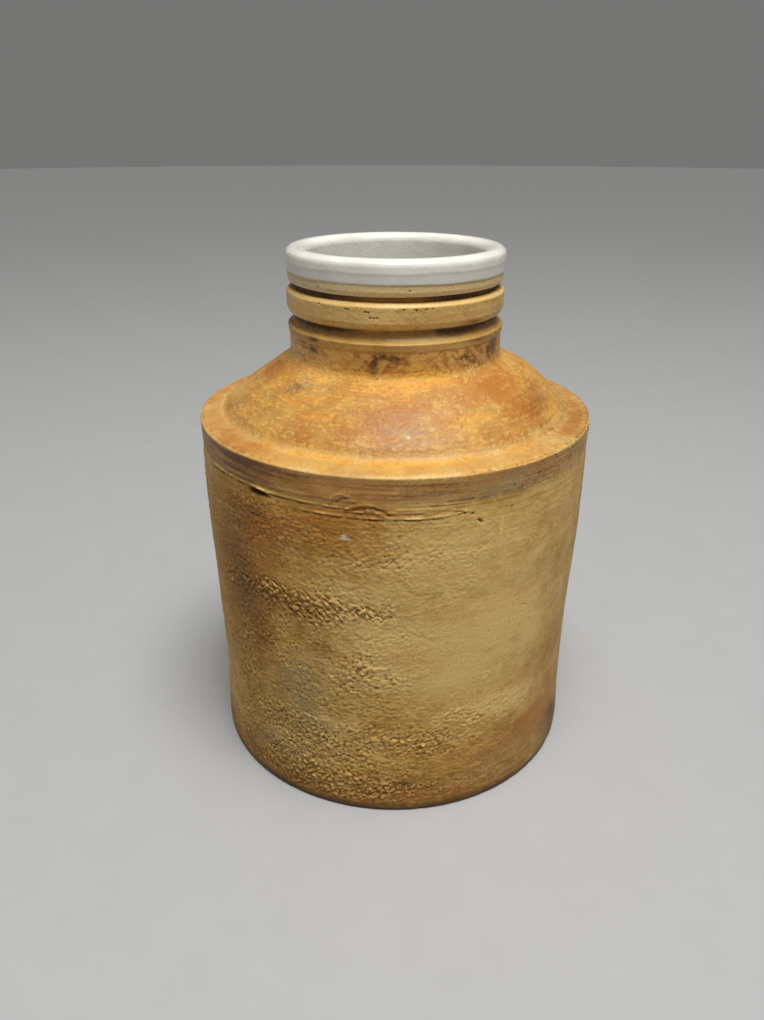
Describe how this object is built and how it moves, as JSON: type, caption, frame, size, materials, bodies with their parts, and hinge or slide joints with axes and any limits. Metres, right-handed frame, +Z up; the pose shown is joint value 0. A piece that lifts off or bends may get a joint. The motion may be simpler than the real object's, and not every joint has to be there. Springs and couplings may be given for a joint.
{
  "type": "ceramic crock fermenter",
  "caption": "Wide-mouthed stoneware crock for fermenting: a straight wall, a sharp shoulder, a turned neck with two grooves, and white glaze on its lip and inside.",
  "frame": {"origin": "centre of the underside of the foot, on the table", "axes": "+Z up along the axis of the crock, towards its mouth; +Y away from a viewer who faces its front"},
  "size_m": [0.2292, 0.2292, 0.305],
  "materials": {
    "stoneware": "matte",
    "stoneware_shoulder": "satin",
    "stoneware_neck": "matte",
    "slip": "matte",
    "white_glaze": "gloss"
  },
  "bodies": {
    "root": {"base_slab": "stoneware", "body_wall": "stoneware", "base_seam_coil": "stoneware", "shoulder_seam_slip": "slip", "shoulder_cap": "stoneware_shoulder", "neck_seam_slip": "slip", "neck_collar": "stoneware_neck", "interior_glaze": "white_glaze", "rim_glaze": "white_glaze"}
  },
  "joints": []
}
